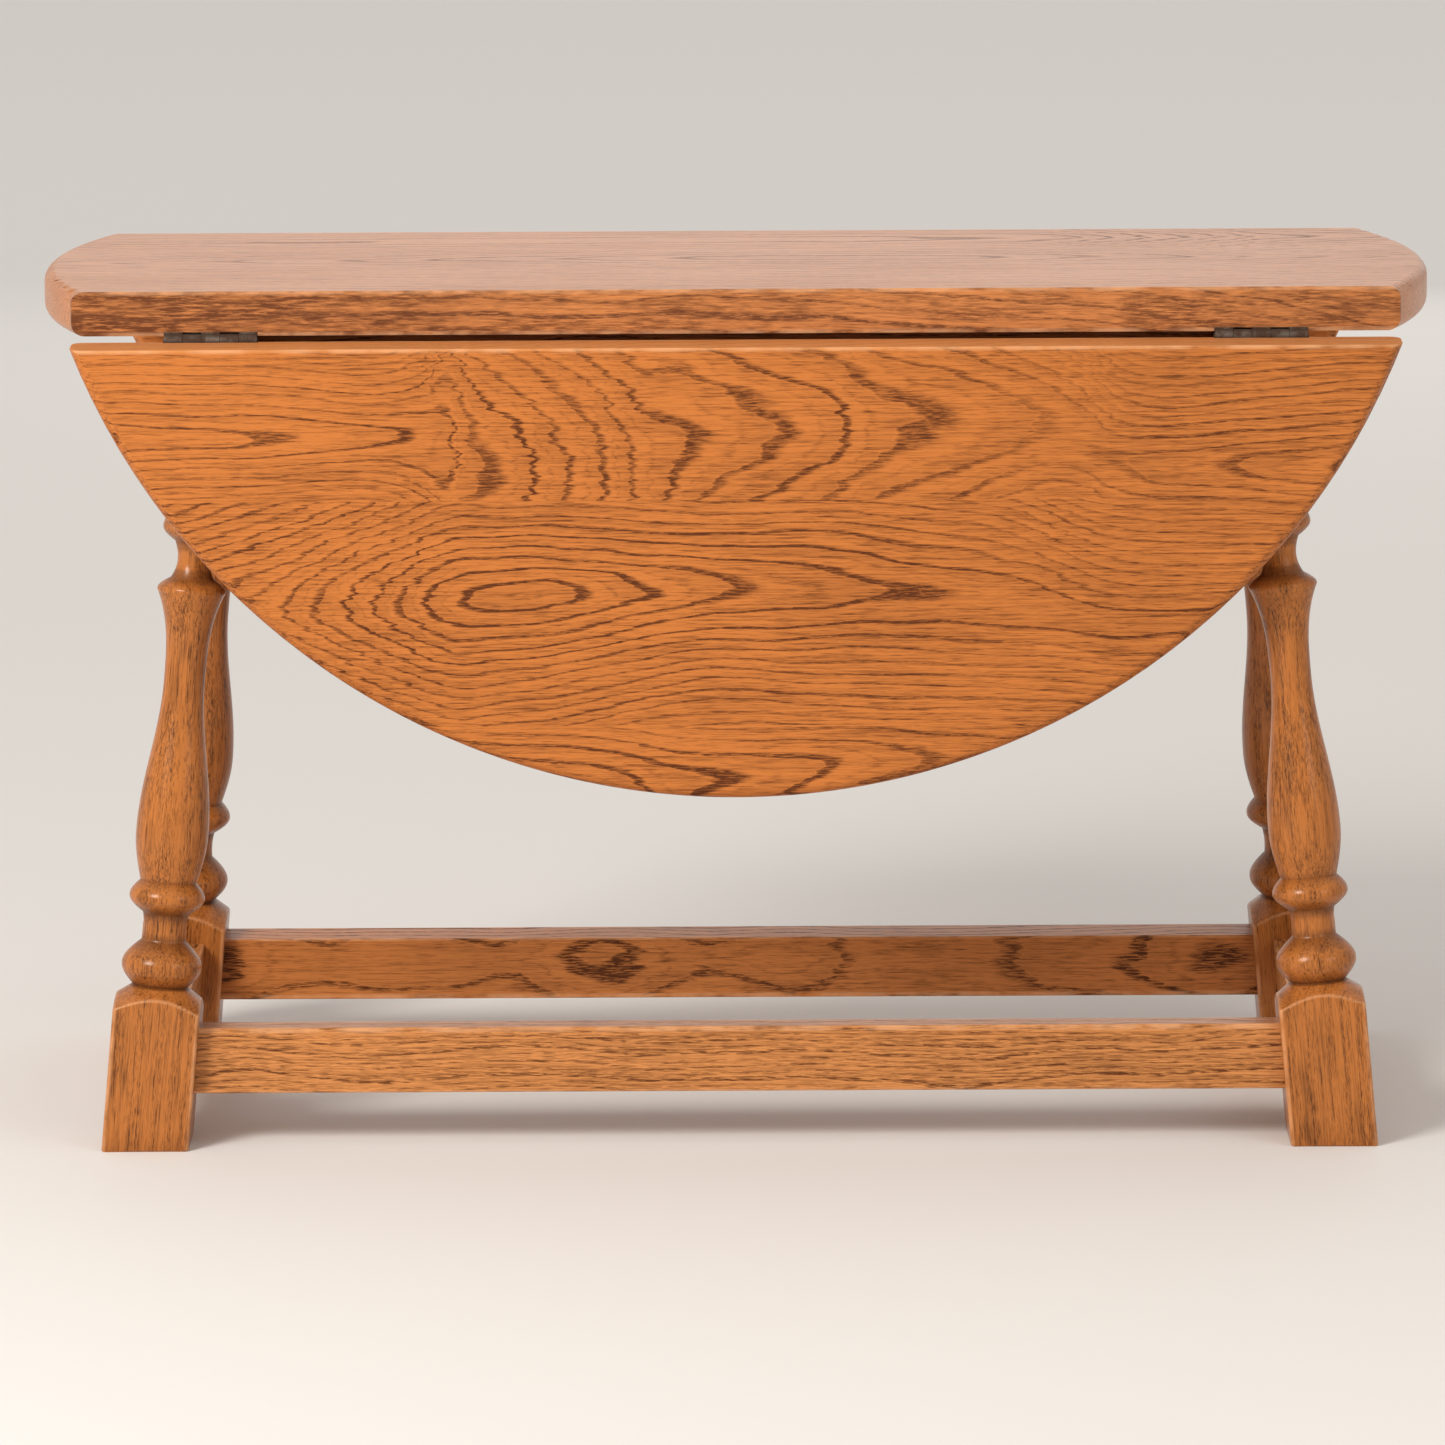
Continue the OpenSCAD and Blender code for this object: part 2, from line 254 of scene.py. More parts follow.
# ---- Oak ---------------------------------------------------------------------------------

# Sizes of the grain's features in mm: along, across and through the wood
JAG_SIZE = (26.0, 2.8, 2.8)               # the zigzag of a ring's edge
WAVE_SIZE = (75.0, 30.0, 30.0)            # the slow bend of the rings
DRIFT_SIZE = (60.0, 14.0, 14.0)           # uneven ring widths
DASH_SIZE = (24.0, 1.25, 1.25)            # dark dashes between the bands
FLECK_SIZE = (11.0, 0.5, 0.5)             # the finest open pores
FIBRE_SIZE = (70.0, 1.1, 1.1)
CUT_PORE_SIZE = (2.0, 1.1, 0.9)           # pores on end grain
STREAK_SIZE = (13.0, 1.0, 1.3)            # brown marks on the board's butt edge
SWAY_LENGTH = 170.0                       # the pith's wander along the wood
RUB_AND_HIGHLIGHT_LENGTH = 24.0                         # rubbed stretches of an arris, with painted highlight
SOOT_PATCH = (52.0, 9.0)                  # sooty patches of the butt edge

WAVE, DRIFT = 7.0, 0.75                   # mm across, and rings
RING_THROUGH = 9.0                        # mm through the wood from ring to ring
STAVE_SEED = 7.3                          # from one stave's seed to the next one's
RUB_AND_HIGHLIGHT_REACH = (2.8, 1.0)                    # mm from an arris where rubbing and painted highlight end and are full
BUTT_REACH = (2.0, 0.4)                   # the same from a butt face
TONE_AND_SHADE_SPAN = (-150.0, 300.0)               # mm along, where a top gets darker: its tone and painted shade
LEFT_SOOT, RIGHT_SOOT = (-60.0, -340.0), (150.0, 370.0)     # mm along, sootier ends

PORE_BROWN = rgb(84, 36, 8)
# Arrises pale from wear and from a painted highlight
RUBBED_PALE_AND_HIGHLIGHT = rgb(226, 168, 122)
# Dirt and painted shade in the legs' quirks
QUIRK_DIRT_AND_SHADE = rgb(74, 38, 18)
# Painted light on the leaves' butt edges
BUTT_PAINTED_LIGHT = rgb(228, 156, 98)
SOOT = rgb(92, 40, 6)
VARNISH_TINT = (1.0, 0.66, 0.36, 1.0)


class Stave:
    """One glued board of a top: how many growth rings deep its surface is along its length,
    and where the middle of its ring pattern runs. The curves are points (mm along, value)."""

    def __init__(self, start, depth, middle, bold, blunt, pitch=7.0, tone=0.0, dips=(),
                 spread=32.0):
        self.start = start                # mm across the top, where the stave starts
        self.depth = depth                # rings deep along the middle of the pattern
        self.middle = middle              # mm across, where that middle is
        self.bold = bold                  # how strongly the rings show
        self.blunt = blunt                # how round the arches' tips are, mm
        self.pitch = pitch                # mm from ring to ring beside the middle
        self.tone = tone                  # how much darker than its neighbours
        self.dips = dips                  # (mm along, width, mm across): bends of the rings
        self.spread = spread              # how far from the middle the rings stay bold, mm

    def rings(self, x, v, w):
        """Rings deep at a place, and how boldly they show there."""
        for at, width, drop in self.dips:
            v = v - x.bell(at, width) * drop
        middle, blunt = x.curve(self.middle), x.curve(self.blunt)
        away = v - middle
        across = (away * away + blunt * blunt).sqrt() - blunt
        bold = x.curve(self.bold) * (v.bell(middle, self.spread) * 0.55 + 0.45)
        return x.curve(self.depth) + across / self.pitch + w / RING_THROUGH, bold


def natural_rings(x, v, w, pith, pitch, wander):
    """Rings round a pith that lies off the piece and wanders along it."""
    tree = x.tree
    sway = noise(tree, vector(tree, x / SWAY_LENGTH, pith[2], 0.0), 1.0) - 0.5
    a, b = v - pith[0], w - pith[1] + sway * wander
    return (a * a + b * b).sqrt() / pitch


@dataclass
class Oak:
    """What sets one oak surface apart from another. Sizes are in mm."""
    light: tuple                          # colour of the wood between the pores
    dark: tuple                           # colour of the pores
    section: tuple                        # width or height of its section, and thickness
    staves: tuple = ()                    # ring pattern of a glued-up top
    pitch: float = 4.5                    # from ring to ring, where there are no staves
    wander: float = 60.0                  # how far the pith strays along the piece
    zig: float = 24.0                     # how far the rings' edges zigzag along the grain
    band: float = 1.0                     # strength of the dark band in each ring
    band_width: float = 0.27              # its least width, as a share of the ring
    solid: float = 0.3                    # share of the band that pores don't break up
    scatter: float = 0.0                  # 0: pores in bands, 1: pores all over the ring
    pore_size: tuple = (7.5, 0.75)        # along and across
    pore_cut: tuple = (0.45, 0.55)        # noise at a pore's edge and in its middle
    dashes: float = 0.32                  # strength of the dashes between bands
    streaks: float = 0.5                  # strength of the fibre
    clouds: float = 0.34                  # strength of broad light and dark patches
    cloud_size: tuple = (120.0, 42.0)     # along and across
    fade: float = 0.0                     # how much darker the wood gets towards +X: its tone and painted shade
    butt: float = 0.0                     # how much paler painted light makes the straight butt edge
    sooty: bool = False                   # whether the butt edge has brown marks
    rough: float = 0.38
    coat: float = 0.2
    specular: float = 0.25


def ring_field(look, place, pith):
    """Rings deep, how boldly they show, how much darker the stave is, and the grain's seed."""
    x, v, w = place
    tree, seed = x.tree, pith[2]
    if look.staves:
        row = 0.0
        for stave in look.staves[1:]:
            row = v.over(stave.start) + row
        seed = row * STAVE_SEED + seed
    jag = wood_noise(place, JAG_SIZE, (0, seed * 3.1, 0), 3.0) - 0.5
    wave = wood_noise(place, WAVE_SIZE, (0, seed, 0), 1.0) - 0.5
    bent = (x + jag * look.zig, v + wave * WAVE, w)
    if look.staves:
        (rings, bold), tone = look.staves[0].rings(*bent), look.staves[0].tone
        for stave in look.staves[1:]:
            past = v.over(stave.start)
            next_rings, next_bold = stave.rings(*bent)
            rings = rings + past * (next_rings - rings)
            bold = bold + past * (next_bold - bold)
            tone = past * (stave.tone - tone) + tone
        # End grain: rings hardly show, and cut pores do
        normal = tree.nodes.new("ShaderNodeNewGeometry").outputs["True Normal"]
        end_on = parts_of(tree, normal)[0].abs().ramp(0.35, 0.9)
        bold = bold * (1.0 - end_on * 0.75)
        cut_pores = wood_noise(place, CUT_PORE_SIZE).ramp(0.48, 0.64)
        tone = end_on * (cut_pores * 0.34 + 0.06) + tone
    else:
        rings, tone, bold = natural_rings(*bent, pith, look.pitch, look.wander), 0.0, 1.0
    drift = wood_noise(place, DRIFT_SIZE, (0, 0, seed), 1.0) - 0.5
    return rings + drift * DRIFT, bold, tone, seed


def ring_band(look, part, number, seed):
    """The dark band at the start of each ring, and how strong it is by chance."""
    tree = part.tree
    strength = chance(tree, number + seed.floor() * 31.0) * 0.6 + 0.55
    width = chance(tree, number + 57.0) * 0.16 + look.band_width
    early = part.ramp(0.0, 0.07) * (1.0 - part.ramp(width * 0.45, width))
    if look.scatter:
        broad = part.ramp(0.0, 0.3) * part.ramp(0.55, 1.0, 1.0, 0.0)
        early = early + (broad - early) * look.scatter
    return early, strength


def worn_and_highlit_arrises(look, place, seed):
    """1 where an arris is rubbed pale with a painted highlight, 0 elsewhere."""
    x, v, w = place
    wide, thick = look.section
    if look.staves:                       # v and w start at an arris
        gap_v, gap_w = v.least(wide - v), w.least(thick - w)
    else:                                 # v and w start in the middle
        gap_v, gap_w = wide / 2 - v.abs(), thick / 2 - w.abs()
    arris = (gap_v * gap_v + gap_w * gap_w).sqrt()
    patches = noise(x.tree, vector(x.tree, x / RUB_AND_HIGHLIGHT_LENGTH, seed, 0.0), 3.0).ramp(0.32, 0.62)
    return attribute(x.tree, "edge").most(arris.ramp(*RUB_AND_HIGHLIGHT_REACH) * patches)


def soot_marks(place):
    """Mottled brown streaks, most towards the butt edge's ends and its lower arris."""
    x, v, w = place
    streak = wood_noise(place, STREAK_SIZE, detail=4.0, rough=0.7)
    long_, wide = SOOT_PATCH
    patch = noise(x.tree, vector(x.tree, x / long_ + 4.0, 0.0, w / wide), 2.0)
    ends = x.ramp(*LEFT_SOOT) * 0.5 + x.ramp(*RIGHT_SOOT) * 0.22
    amount = patch.ramp(0.40, 0.60) * 0.62 + ends + 0.2
    low = w.ramp(3.0, 0.6) * streak.ramp(0.25, 0.6) * 0.9
    return streak.ramp(0.34, 0.64) * amount + ends * 0.4 + low


def butt_colour(look, place, colour):
    """Colour of a top: its straight butt edge paler with painted light, or with brown marks on
    it.
    """
    tree, on_face = place[0].tree, place[1].ramp(*BUTT_REACH)
    # Painted light: the leaves' butt edges made paler
    if look.butt:
        colour = colour_mix(tree, on_face * look.butt, colour, BUTT_PAINTED_LIGHT)
    if look.sooty:
        colour = colour_mix(tree, (soot_marks(place) * on_face).clamp(), colour, SOOT)
    return colour


def oak(name, look):
    """Satin varnished oak, for a mesh that stamp() has marked."""
    material, tree, shader = new_material(name)
    place, pith = vector_attribute(tree, "wood_mm"), vector_attribute(tree, "pith_mm")
    rings, bold, tone, seed = ring_field(look, place, pith)
    part = rings.fract()
    early, strength = ring_band(look, part, rings.floor(), seed)
    strength = strength * bold

    long_, wide = look.pore_size
    pore = wood_noise(place, (long_, wide, wide), (0, seed, 0), 2.0, 0.55)
    dash = wood_noise(place, DASH_SIZE, (seed, 0, 0), 3.0, 0.6)
    fleck = wood_noise(place, FLECK_SIZE, (0, 0, seed), 1.0)
    fibre = wood_noise(place, FIBRE_SIZE, (0, 0, seed), 3.0, 0.6) - 0.5
    long_, wide = look.cloud_size
    cloud = wood_noise(place, (long_, wide, wide), (seed, 0, 0), 2.0) - 0.5

    open_pore = pore.ramp(*look.pore_cut)
    bands = early * strength * (open_pore * (1.0 - look.solid) + look.solid) * look.band
    thin = part.bell(0.62, 0.05) * pore.ramp(0.40, 0.52) * bold * 0.30
    lines = fleck.ramp(0.54, 0.66) * 0.30 + dash.ramp(0.53, 0.62) * look.dashes + thin
    late = part.ramp(0.45, 1.0) * 0.14
    # Darker towards +X: partly the wood's tone, partly painted shade
    shade = (bands + lines + late + fibre * look.streaks + cloud * look.clouds
             + place[0].ramp(*TONE_AND_SHADE_SPAN) * look.fade + tone).clamp()
    deepest = (early * strength * open_pore * 0.4 * look.band).clamp()
    dirt_and_shade = attribute(tree, "dirt_and_shade")

    colour = colour_mix(tree, shade, look.light, look.dark)
    colour = colour_mix(tree, deepest, colour, PORE_BROWN)
    if look.staves:
        colour = butt_colour(look, place, colour)
    # Arrises rubbed pale, with a painted highlight
    colour = colour_mix(tree, worn_and_highlit_arrises(look, place, seed) * 0.55, colour, RUBBED_PALE_AND_HIGHLIGHT)
    # Darker in the legs' quirks: dirt and painted shade
    colour = colour_mix(tree, dirt_and_shade * 0.8, colour, QUIRK_DIRT_AND_SHADE)

    plug(tree, shader.inputs["Base Color"], colour)
    gloss = (bands * 0.22 + cloud * 0.12 + dirt_and_shade * 0.2 + look.rough).clamp()
    plug(tree, shader.inputs["Roughness"], gloss)
    shader.inputs["Coat Weight"].default_value = look.coat
    shader.inputs["Coat Roughness"].default_value = 0.22
    shader.inputs["Specular IOR Level"].default_value = look.specular
    shader.inputs["Specular Tint"].default_value = VARNISH_TINT
    relief = 1.0 - bands * open_pore - fleck.ramp(0.6, 0.7) * 0.3 + fibre * 0.5
    add_bump(tree, shader, relief, 0.45, 0.12)
    return material


# The ring patterns of the leaves and the board, stave by stave
LEAF_FRONT = [
    Stave(0, [(-380, -1.6), (-300, -1.0), (-207, 0), (-156, 1), (-146, 2), (-118, 3),
              (-101, 4), (-79, 5), (-62, 6), (-41, 7), (0, 8), (46, 9), (76, 10),
              (140, 11), (185, 11.5), (230, 11), (287, 10), (380, 9)],
          [(-380, 48), (-207, 47), (-150, 55), (-118, 69), (-62, 69), (-41, 61), (0, 46),
           (140, 42), (185, 50), (230, 66), (380, 65)],
          [(-380, 0.55), (-207, 0.7), (-150, 0.8), (-118, 1.0), (-62, 1.0), (-20, 0.8),
           (46, 0.85), (110, 0.8), (185, 0.3), (240, 0.7), (380, 0.7)],
          [(-380, 8), (-207, 8), (-170, 24), (-140, 150), (-60, 170), (0, 100), (76, 100),
           (140, 60), (185, 30), (230, 14), (380, 10)], pitch=5.0, spread=54.0),
    Stave(83, [(-380, 13), (-235, 6), (-219, 5), (-204, 4), (-190, 3), (-175, 2),
               (-162, 1.1), (-137, 0.2), (-114, 0), (-91, 0.35), (-39, 1.6), (6, 2.55),
               (89, 3.45), (150, 3.8), (260, 4.2), (380, 4.6)],
          [(-380, 140), (-190, 139), (-114, 136), (-39, 131), (6, 130), (89, 133),
           (150, 138), (210, 145), (380, 156)],
          [(-380, 0.8), (-235, 0.85), (-114, 1.0), (6, 1.0), (89, 0.95), (150, 0.55),
           (208, 0.6), (380, 0.55)],
          [(-380, 20), (-160, 18), (-114, 10), (-60, 10), (6, 16), (89, 24), (200, 12),
           (380, 8)],
          pitch=5.6, dips=[(208, 48, 7)], tone=0.03, spread=62.0),
    Stave(207, [(-300, -2), (-150, 0), (-70, 1), (-35, 2), (24, 3), (77, 4), (140, 5),
                (300, 7)],
          [(-300, 240), (-35, 239), (77, 228), (300, 222)],
          [(-300, 0.5), (-100, 0.8), (77, 0.95), (140, 0.7), (300, 0.5)],
          [(-300, 14), (300, 18)], pitch=5.5, tone=-0.02),
]
LEAF_REAR = [
    Stave(0, [(-380, 8), (-240, 6), (-150, 4), (-90, 2.5), (-20, 1.5), (60, 2), (120, 3.4),
              (170, 5), (240, 6.5), (380, 8)],
          [(-380, 30), (-90, 44), (60, 50), (380, 38)],
          [(-380, 0.5), (-90, 0.9), (60, 0.9), (380, 0.5)], [(-380, 8), (0, 14), (380, 8)],
          tone=0.02),
    Stave(92, [(-380, 0), (-200, 1), (-60, 2), (20, 3.5), (70, 5), (110, 7), (160, 9),
               (230, 10), (380, 11)],
          [(-380, 150), (-60, 138), (110, 128), (380, 150)],
          [(-380, 0.5), (20, 0.9), (160, 1.0), (380, 0.6)], [(-380, 5), (110, 20), (380, 8)]),
    Stave(188, [(-300, 4), (-120, 2), (0, 0.5), (90, 1.6), (160, 3), (300, 5)],
          [(-300, 214), (0, 222), (300, 210)],
          [(-300, 0.5), (0, 0.9), (300, 0.5)], [(-300, 6), (300, 6)], tone=0.04),
]
BOARD = [
    Stave(0, [(-380, 0), (-200, 1.5), (0, 2.1), (200, 3.2), (380, 5)],
          [(-380, -30), (0, -18), (380, -34)],
          [(-380, 1.0), (380, 1.0)], [(-380, 6), (380, 6)], pitch=6.5),
    Stave(88, [(-380, 7), (-250, 5), (-100, 2.6), (50, 1), (200, 2.5), (300, 5), (380, 7)],
          [(-380, 124), (0, 136), (380, 128)],
          [(-380, 0.6), (50, 0.9), (380, 0.6)], [(-380, 6), (50, 12), (380, 6)], tone=0.02),
    Stave(176, [(-380, 0), (-120, 0.8), (150, 1.6), (200, 3), (225, 4.2), (250, 5.4),
                (275, 6.6), (300, 8), (380, 9.5)],
          [(-380, 214), (150, 222), (380, 226)],
          [(-380, 0.6), (150, 0.8), (225, 1.3), (300, 1.3), (380, 0.8)],
          [(-380, 6), (225, 22), (380, 12)], tone=-0.02),
]

NO_FAR_ARRIS = 1e4                        # a leaf's far edge is an arc, and isn't rubbed
TOP_DARK = rgb(84, 36, 8)
leaf_looks = dict(light=rgb(194, 114, 53), dark=TOP_DARK, section=(NO_FAR_ARRIS, TOP_T),
                  band=1.3, zig=15.0, solid=0.5, butt=0.4, coat=0.16, specular=0.32,
                  streaks=1.0, clouds=0.45)
mat_leaf_front = oak("oak_leaf_front", Oak(staves=LEAF_FRONT, fade=0.08, **leaf_looks))
mat_leaf_rear = oak("oak_leaf_rear", Oak(staves=LEAF_REAR, **leaf_looks))
mat_board = oak("oak_board", Oak(
    rgb(204, 128, 70), TOP_DARK, (BOARD_W, TOP_T), staves=BOARD, band=1.2, zig=18.0,
    solid=0.4, sooty=True, coat=0.34, specular=0.55, streaks=0.8))
mat_leg = oak("oak_turned", Oak(
    rgb(178, 107, 50), rgb(78, 40, 14), (2 * HALF_SIDE, 2 * HALF_SIDE), pitch=9.0,
    wander=26.0, band=0.42, zig=26.0, rough=0.32, coat=0.35, solid=0.15,
    pore_size=(4.6, 0.5), pore_cut=(0.50, 0.62), scatter=1.0, streaks=1.5, clouds=1.1,
    cloud_size=(46.0, 15.0), specular=0.2))
mat_stretcher = oak("oak_stretcher", Oak(
    rgb(204, 134, 76), rgb(86, 42, 14), (STRETCHER_H, STRETCHER_T), pitch=5.5,
    wander=44.0, streaks=1.2, scatter=0.35, dashes=0.28))
# The rear stretcher: bolder rings, and darker colours as painted shade
mat_stretcher_shaded = oak("oak_stretcher_bold_shaded", Oak(
    rgb(192, 118, 62), rgb(74, 36, 12), (STRETCHER_H, STRETCHER_T), pitch=7.0,
    wander=60.0, streaks=0.9, band=1.15, band_width=0.3))
mat_apron = oak("oak_apron", Oak(
    rgb(186, 112, 56), rgb(88, 44, 18), (APRON_H, APRON_T), pitch=4.2,
    wander=40.0, coat=0.15))


# ---- Metal -------------------------------------------------------------------------------

PATCHES_PER_M, GRIT_PER_M = 90.0, 900.0


def metal(name, clean, stain, rough, stained):
    """Old metal: a clean colour, with a stain over the share of it that stained gives."""
    material, tree, shader = new_material(name)
    place = tree.nodes.new("ShaderNodeTexCoord").outputs["Object"]

    def spread(per_metre, detail):
        mapping = tree.nodes.new("ShaderNodeMapping")
        mapping.inputs["Scale"].default_value = (per_metre,) * 3
        tree.links.new(place, mapping.inputs["Vector"])
        return noise(tree, mapping.outputs[0], detail, 0.6)

    patch = spread(PATCHES_PER_M, 3.0).ramp(1.0 - stained, 1.25 - stained)
    grit = spread(GRIT_PER_M, 2.0)
    colour = colour_mix(tree, (patch + (grit - 0.5) * 0.5).clamp(), clean, stain)
    plug(tree, shader.inputs["Base Color"], colour)
    plug(tree, shader.inputs["Metallic"], 1.0 - patch * 0.6)
    plug(tree, shader.inputs["Roughness"], (patch * 0.3 + (grit - 0.5) * 0.3 + rough).clamp())
    add_bump(tree, shader, grit, 0.3, 0.05)
    return material


mat_hinge = metal("hinge_steel", rgb(112, 101, 91), rgb(70, 48, 34), 0.46, 0.68)
mat_screw = metal("screw_steel", rgb(150, 144, 134), rgb(84, 62, 46), 0.36, 0.6)
mat_bolt = metal("bolt_steel", rgb(184, 182, 176), rgb(110, 98, 84), 0.3, 0.5)
mat_brass = metal("insert_brass", rgb(204, 168, 96), rgb(126, 96, 52), 0.32, 0.5)


# ---- Pieces ------------------------------------------------------------------------------

def put(mesh_object, name, material, body="frame"):
    """Names a piece and gives it its material and the body that it rides."""
    mesh_object.name = mesh_object.data.name = name
    mesh_object.data.materials.clear()
    mesh_object.data.materials.append(material)
    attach(mesh_object, body)


def corner_points(mesh):
    """The mesh's vertices in mm, a row each."""
    points = np.zeros(len(mesh.vertices) * 3)
    mesh.vertices.foreach_get("co", points)
    return points.reshape(-1, 3) / MM


def stamp(mesh, wood, pith, edge=None, dirt_and_shade=None):
    """Stores where each vertex lies in its own plank, in millimetres along, across and
    through it, and the plank's pith and seed."""
    # The two masks: arrises rubbed pale with a painted highlight, and quirks darkened by dirt
    # and painted shade
    count = len(mesh.vertices)
    for name, kind, values in (
            ("wood_mm", "FLOAT_VECTOR", wood), ("pith_mm", "FLOAT_VECTOR", [pith] * count),
            ("edge", "FLOAT", np.zeros(count) if edge is None else edge),
            ("dirt_and_shade", "FLOAT", np.zeros(count) if dirt_and_shade is None else dirt_and_shade)):
        layer = mesh.attributes.new(name, kind, "POINT")
        key = "vector" if kind == "FLOAT_VECTOR" else "value"
        layer.data.foreach_set(key, np.asarray(values, float).ravel())


BOARD_EASE, LEAF_EASE, RAIL_EASE = 1.1, 1.9, 0.9            # mm
WELD, FLAT_ENOUGH = 0.002 * MM, 0.004     # metres, and radians
LEAST_ARRIS = 0.6                         # sharpness of an edge that may be eased, radians
SMOOTH_BELOW = math.radians(32)
ON_FACE, LONG_EDGE = 0.3, 100.0           # mm
LONG_PITH = {"front": (-56, 28), "rear": (4, -60)}          # across and through, in mm
END_PITH, PIVOT_PITH = (-30, 26), (30, -50)


def eased(node, pick, ease):
    """A copy of a CAD node with the arrises that pick chooses eased by that many mm."""
    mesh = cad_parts[node].data.copy()
    build = bmesh.new()
    build.from_mesh(mesh)
    bmesh.ops.remove_doubles(build, verts=build.verts, dist=WELD)
    bmesh.ops.dissolve_limit(build, angle_limit=FLAT_ENOUGH, verts=build.verts,
                             edges=build.edges)
    build.normal_update()
    chosen = [e for e in build.edges if len(e.link_faces) == 2
              and e.calc_face_angle(0.0) > LEAST_ARRIS and pick(e)]
    bmesh.ops.bevel(build, geom=chosen, offset=ease * MM, segments=3, profile=0.5,
                    affect="EDGES", clamp_overlap=True)
    build.to_mesh(mesh)
    build.free()
    for polygon in mesh.polygons:
        polygon.use_smooth = True
    mesh.set_sharp_from_angle(angle=SMOOTH_BELOW)
    piece = bpy.data.objects.new(node + "_oak", mesh)
    scene.collection.objects.link(piece)
    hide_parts(node)
    weight = piece.modifiers.new("normals", "WEIGHTED_NORMAL")
    weight.keep_sharp = True
    return piece


def on_butt(inside):
    """Chooses the edges that bound a straight butt face. inside gives how far a point in mm
    is inside that face."""
    def pick(edge):
        return all(inside(vert.co / MM) < ON_FACE for vert in edge.verts)
    return pick


def long_edges(edge):
    """Chooses a rail's own long arrises, not those of its tenons."""
    return edge.calc_length() > LONG_EDGE * MM


def leaf_level(sign):
    """Matrix, in millimetres, that takes a hanging leaf back up to level."""
    pin = Matrix.Translation((0, sign * PIN_Y, PIN_Z))
    return pin @ Matrix.Rotation(math.radians(sign * FOLD), 4, "X") @ pin.inverted()


def build_board():
    piece = eased("top_board", on_butt(lambda p: BOARD_W / 2 - abs(p.y)), BOARD_EASE)
    p = corner_points(piece.data)
    stamp(piece.data, np.stack([p[:, 0], p[:, 1] + BOARD_W / 2, p[:, 2] - UNDER_Z], 1),
          (0, 0, 3.0))
    put(piece, "board_oak", mat_board)


def build_leaf(side, material):
    sign = SIDES[side]
    level = leaf_level(sign)
    piece = eased(f"leaf_{side}", on_butt(lambda p: abs((level @ p).y) - LEAF_EDGE),
                  LEAF_EASE)
    p = np.array([level @ Vector(q) for q in corner_points(piece.data)])
    stamp(piece.data, np.stack([p[:, 0], np.abs(p[:, 1]) - LEAF_EDGE, p[:, 2] - UNDER_Z], 1),
          (0, 0, 11.0 + sign))
    put(piece, f"leaf_{side}_oak", material, f"leaf_{side}")


def build_long_rail(kind, side, middle_z, material, seed):
    """A rail along X, on the front or rear side."""
    sign = SIDES[side]
    piece = eased(f"{kind}_{side}", long_edges, RAIL_EASE)
    p = corner_points(piece.data)
    through = p[:, 1] - sign * (FOOT_Y - p[:, 2] * math.tan(math.radians(SPLAY_Y)))
    stamp(piece.data, np.stack([p[:, 0], p[:, 2] - middle_z, through], 1),
          (*LONG_PITH[side], seed + sign))
    put(piece, f"{kind}_{side}_oak", material)


def build_end_rail(kind, end, middle_z, material, seed):
    """A rail along Y, at the left or right end."""
    sign = ENDS[end]
    piece = eased(f"{kind}_{end}", long_edges, RAIL_EASE)
    p = corner_points(piece.data)
    through = p[:, 0] - sign * (FOOT_X - p[:, 2] * math.tan(math.radians(SPLAY_X)))
    stamp(piece.data, np.stack([p[:, 1], p[:, 2] - middle_z, through], 1),
          (*END_PITH, seed + sign))
    put(piece, f"{kind}_{end}_oak", material)


def build_pivot_rail():
    piece = eased("pivot_rail", long_edges, RAIL_EASE)
    p = corner_points(piece.data)
    stamp(piece.data, np.stack([p[:, 1], p[:, 0], p[:, 2] - PIVOT_RAIL_MID], 1),
          (*PIVOT_PITH, 21.0))
    put(piece, "pivot_rail_oak", mat_apron)


def build_rails():
    """Each rail has its own pith and seed, so that no two look the same."""
    # The rear stretcher takes the darker copy: painted shade
    for side, stretcher in (("front", mat_stretcher), ("rear", mat_stretcher_shaded)):
        build_long_rail("stretcher", side, STRETCHER_MID, stretcher, 5.0)
        build_long_rail("apron", side, APRON_MID, mat_apron, 8.0)
    for end in ENDS:
        build_end_rail("stretcher", end, STRETCHER_MID, mat_stretcher, 14.0)
        build_end_rail("apron", end, APRON_MID, mat_apron, 17.0)
    build_pivot_rail()


# ---- Turned legs -------------------------------------------------------------------------
# Heights are in mm along the leg from its foot, and radii in mm.

PLAIN_LOW, PLAIN_HIGH = 66.0, 364.0       # below and above these the blocks are plain
CORNER_R, FOOT_EASE = 1.4, 0.9            # of the square blocks
SHOULDER_BLEND, SHOULDER_WEAR_AND_HIGHLIGHT = 1.1, 1.6  # how soft a shoulder's arris is, and how wide its pale band of wear and painted highlight is
QUIRK_REACH = 7.0                         # how far a moulding's dirt and painted shade reach its neighbours
LEG_SMOOTH_BELOW = math.radians(50)
ROW_STEP = 1.1                            # between a bead's rows of vertices


def half_bead(a, b, start, end, rise):
    """Quarter wave from radius start at height a to radius end at height b."""
    u = np.linspace(0, 1, max(5, int((b - a) / ROW_STEP)))
    wave = np.sin(u * math.pi / 2) if rise else 1 - np.cos(u * math.pi / 2)
    return a + (b - a) * u, start + (end - start) * wave


def hollow(a, b, low, floor, high):
    """Neck from radius low at height a, in to floor, and out to high at height b."""
    u = np.linspace(-1, 1, max(7, int(b - a)))
    return (a + b) / 2 + (b - a) / 2 * u, floor + (np.where(u < 0, low, high) - floor) * u * u


def sweep(a, b, wide, waist):
    """The vase's long fall from radius wide at height a to radius waist at height b."""
    u = np.linspace(0, 1, 40)[1:]
    return a + (b - a) * u, waist + (wide - waist) * (1 + np.cos(u * math.pi)) / 2


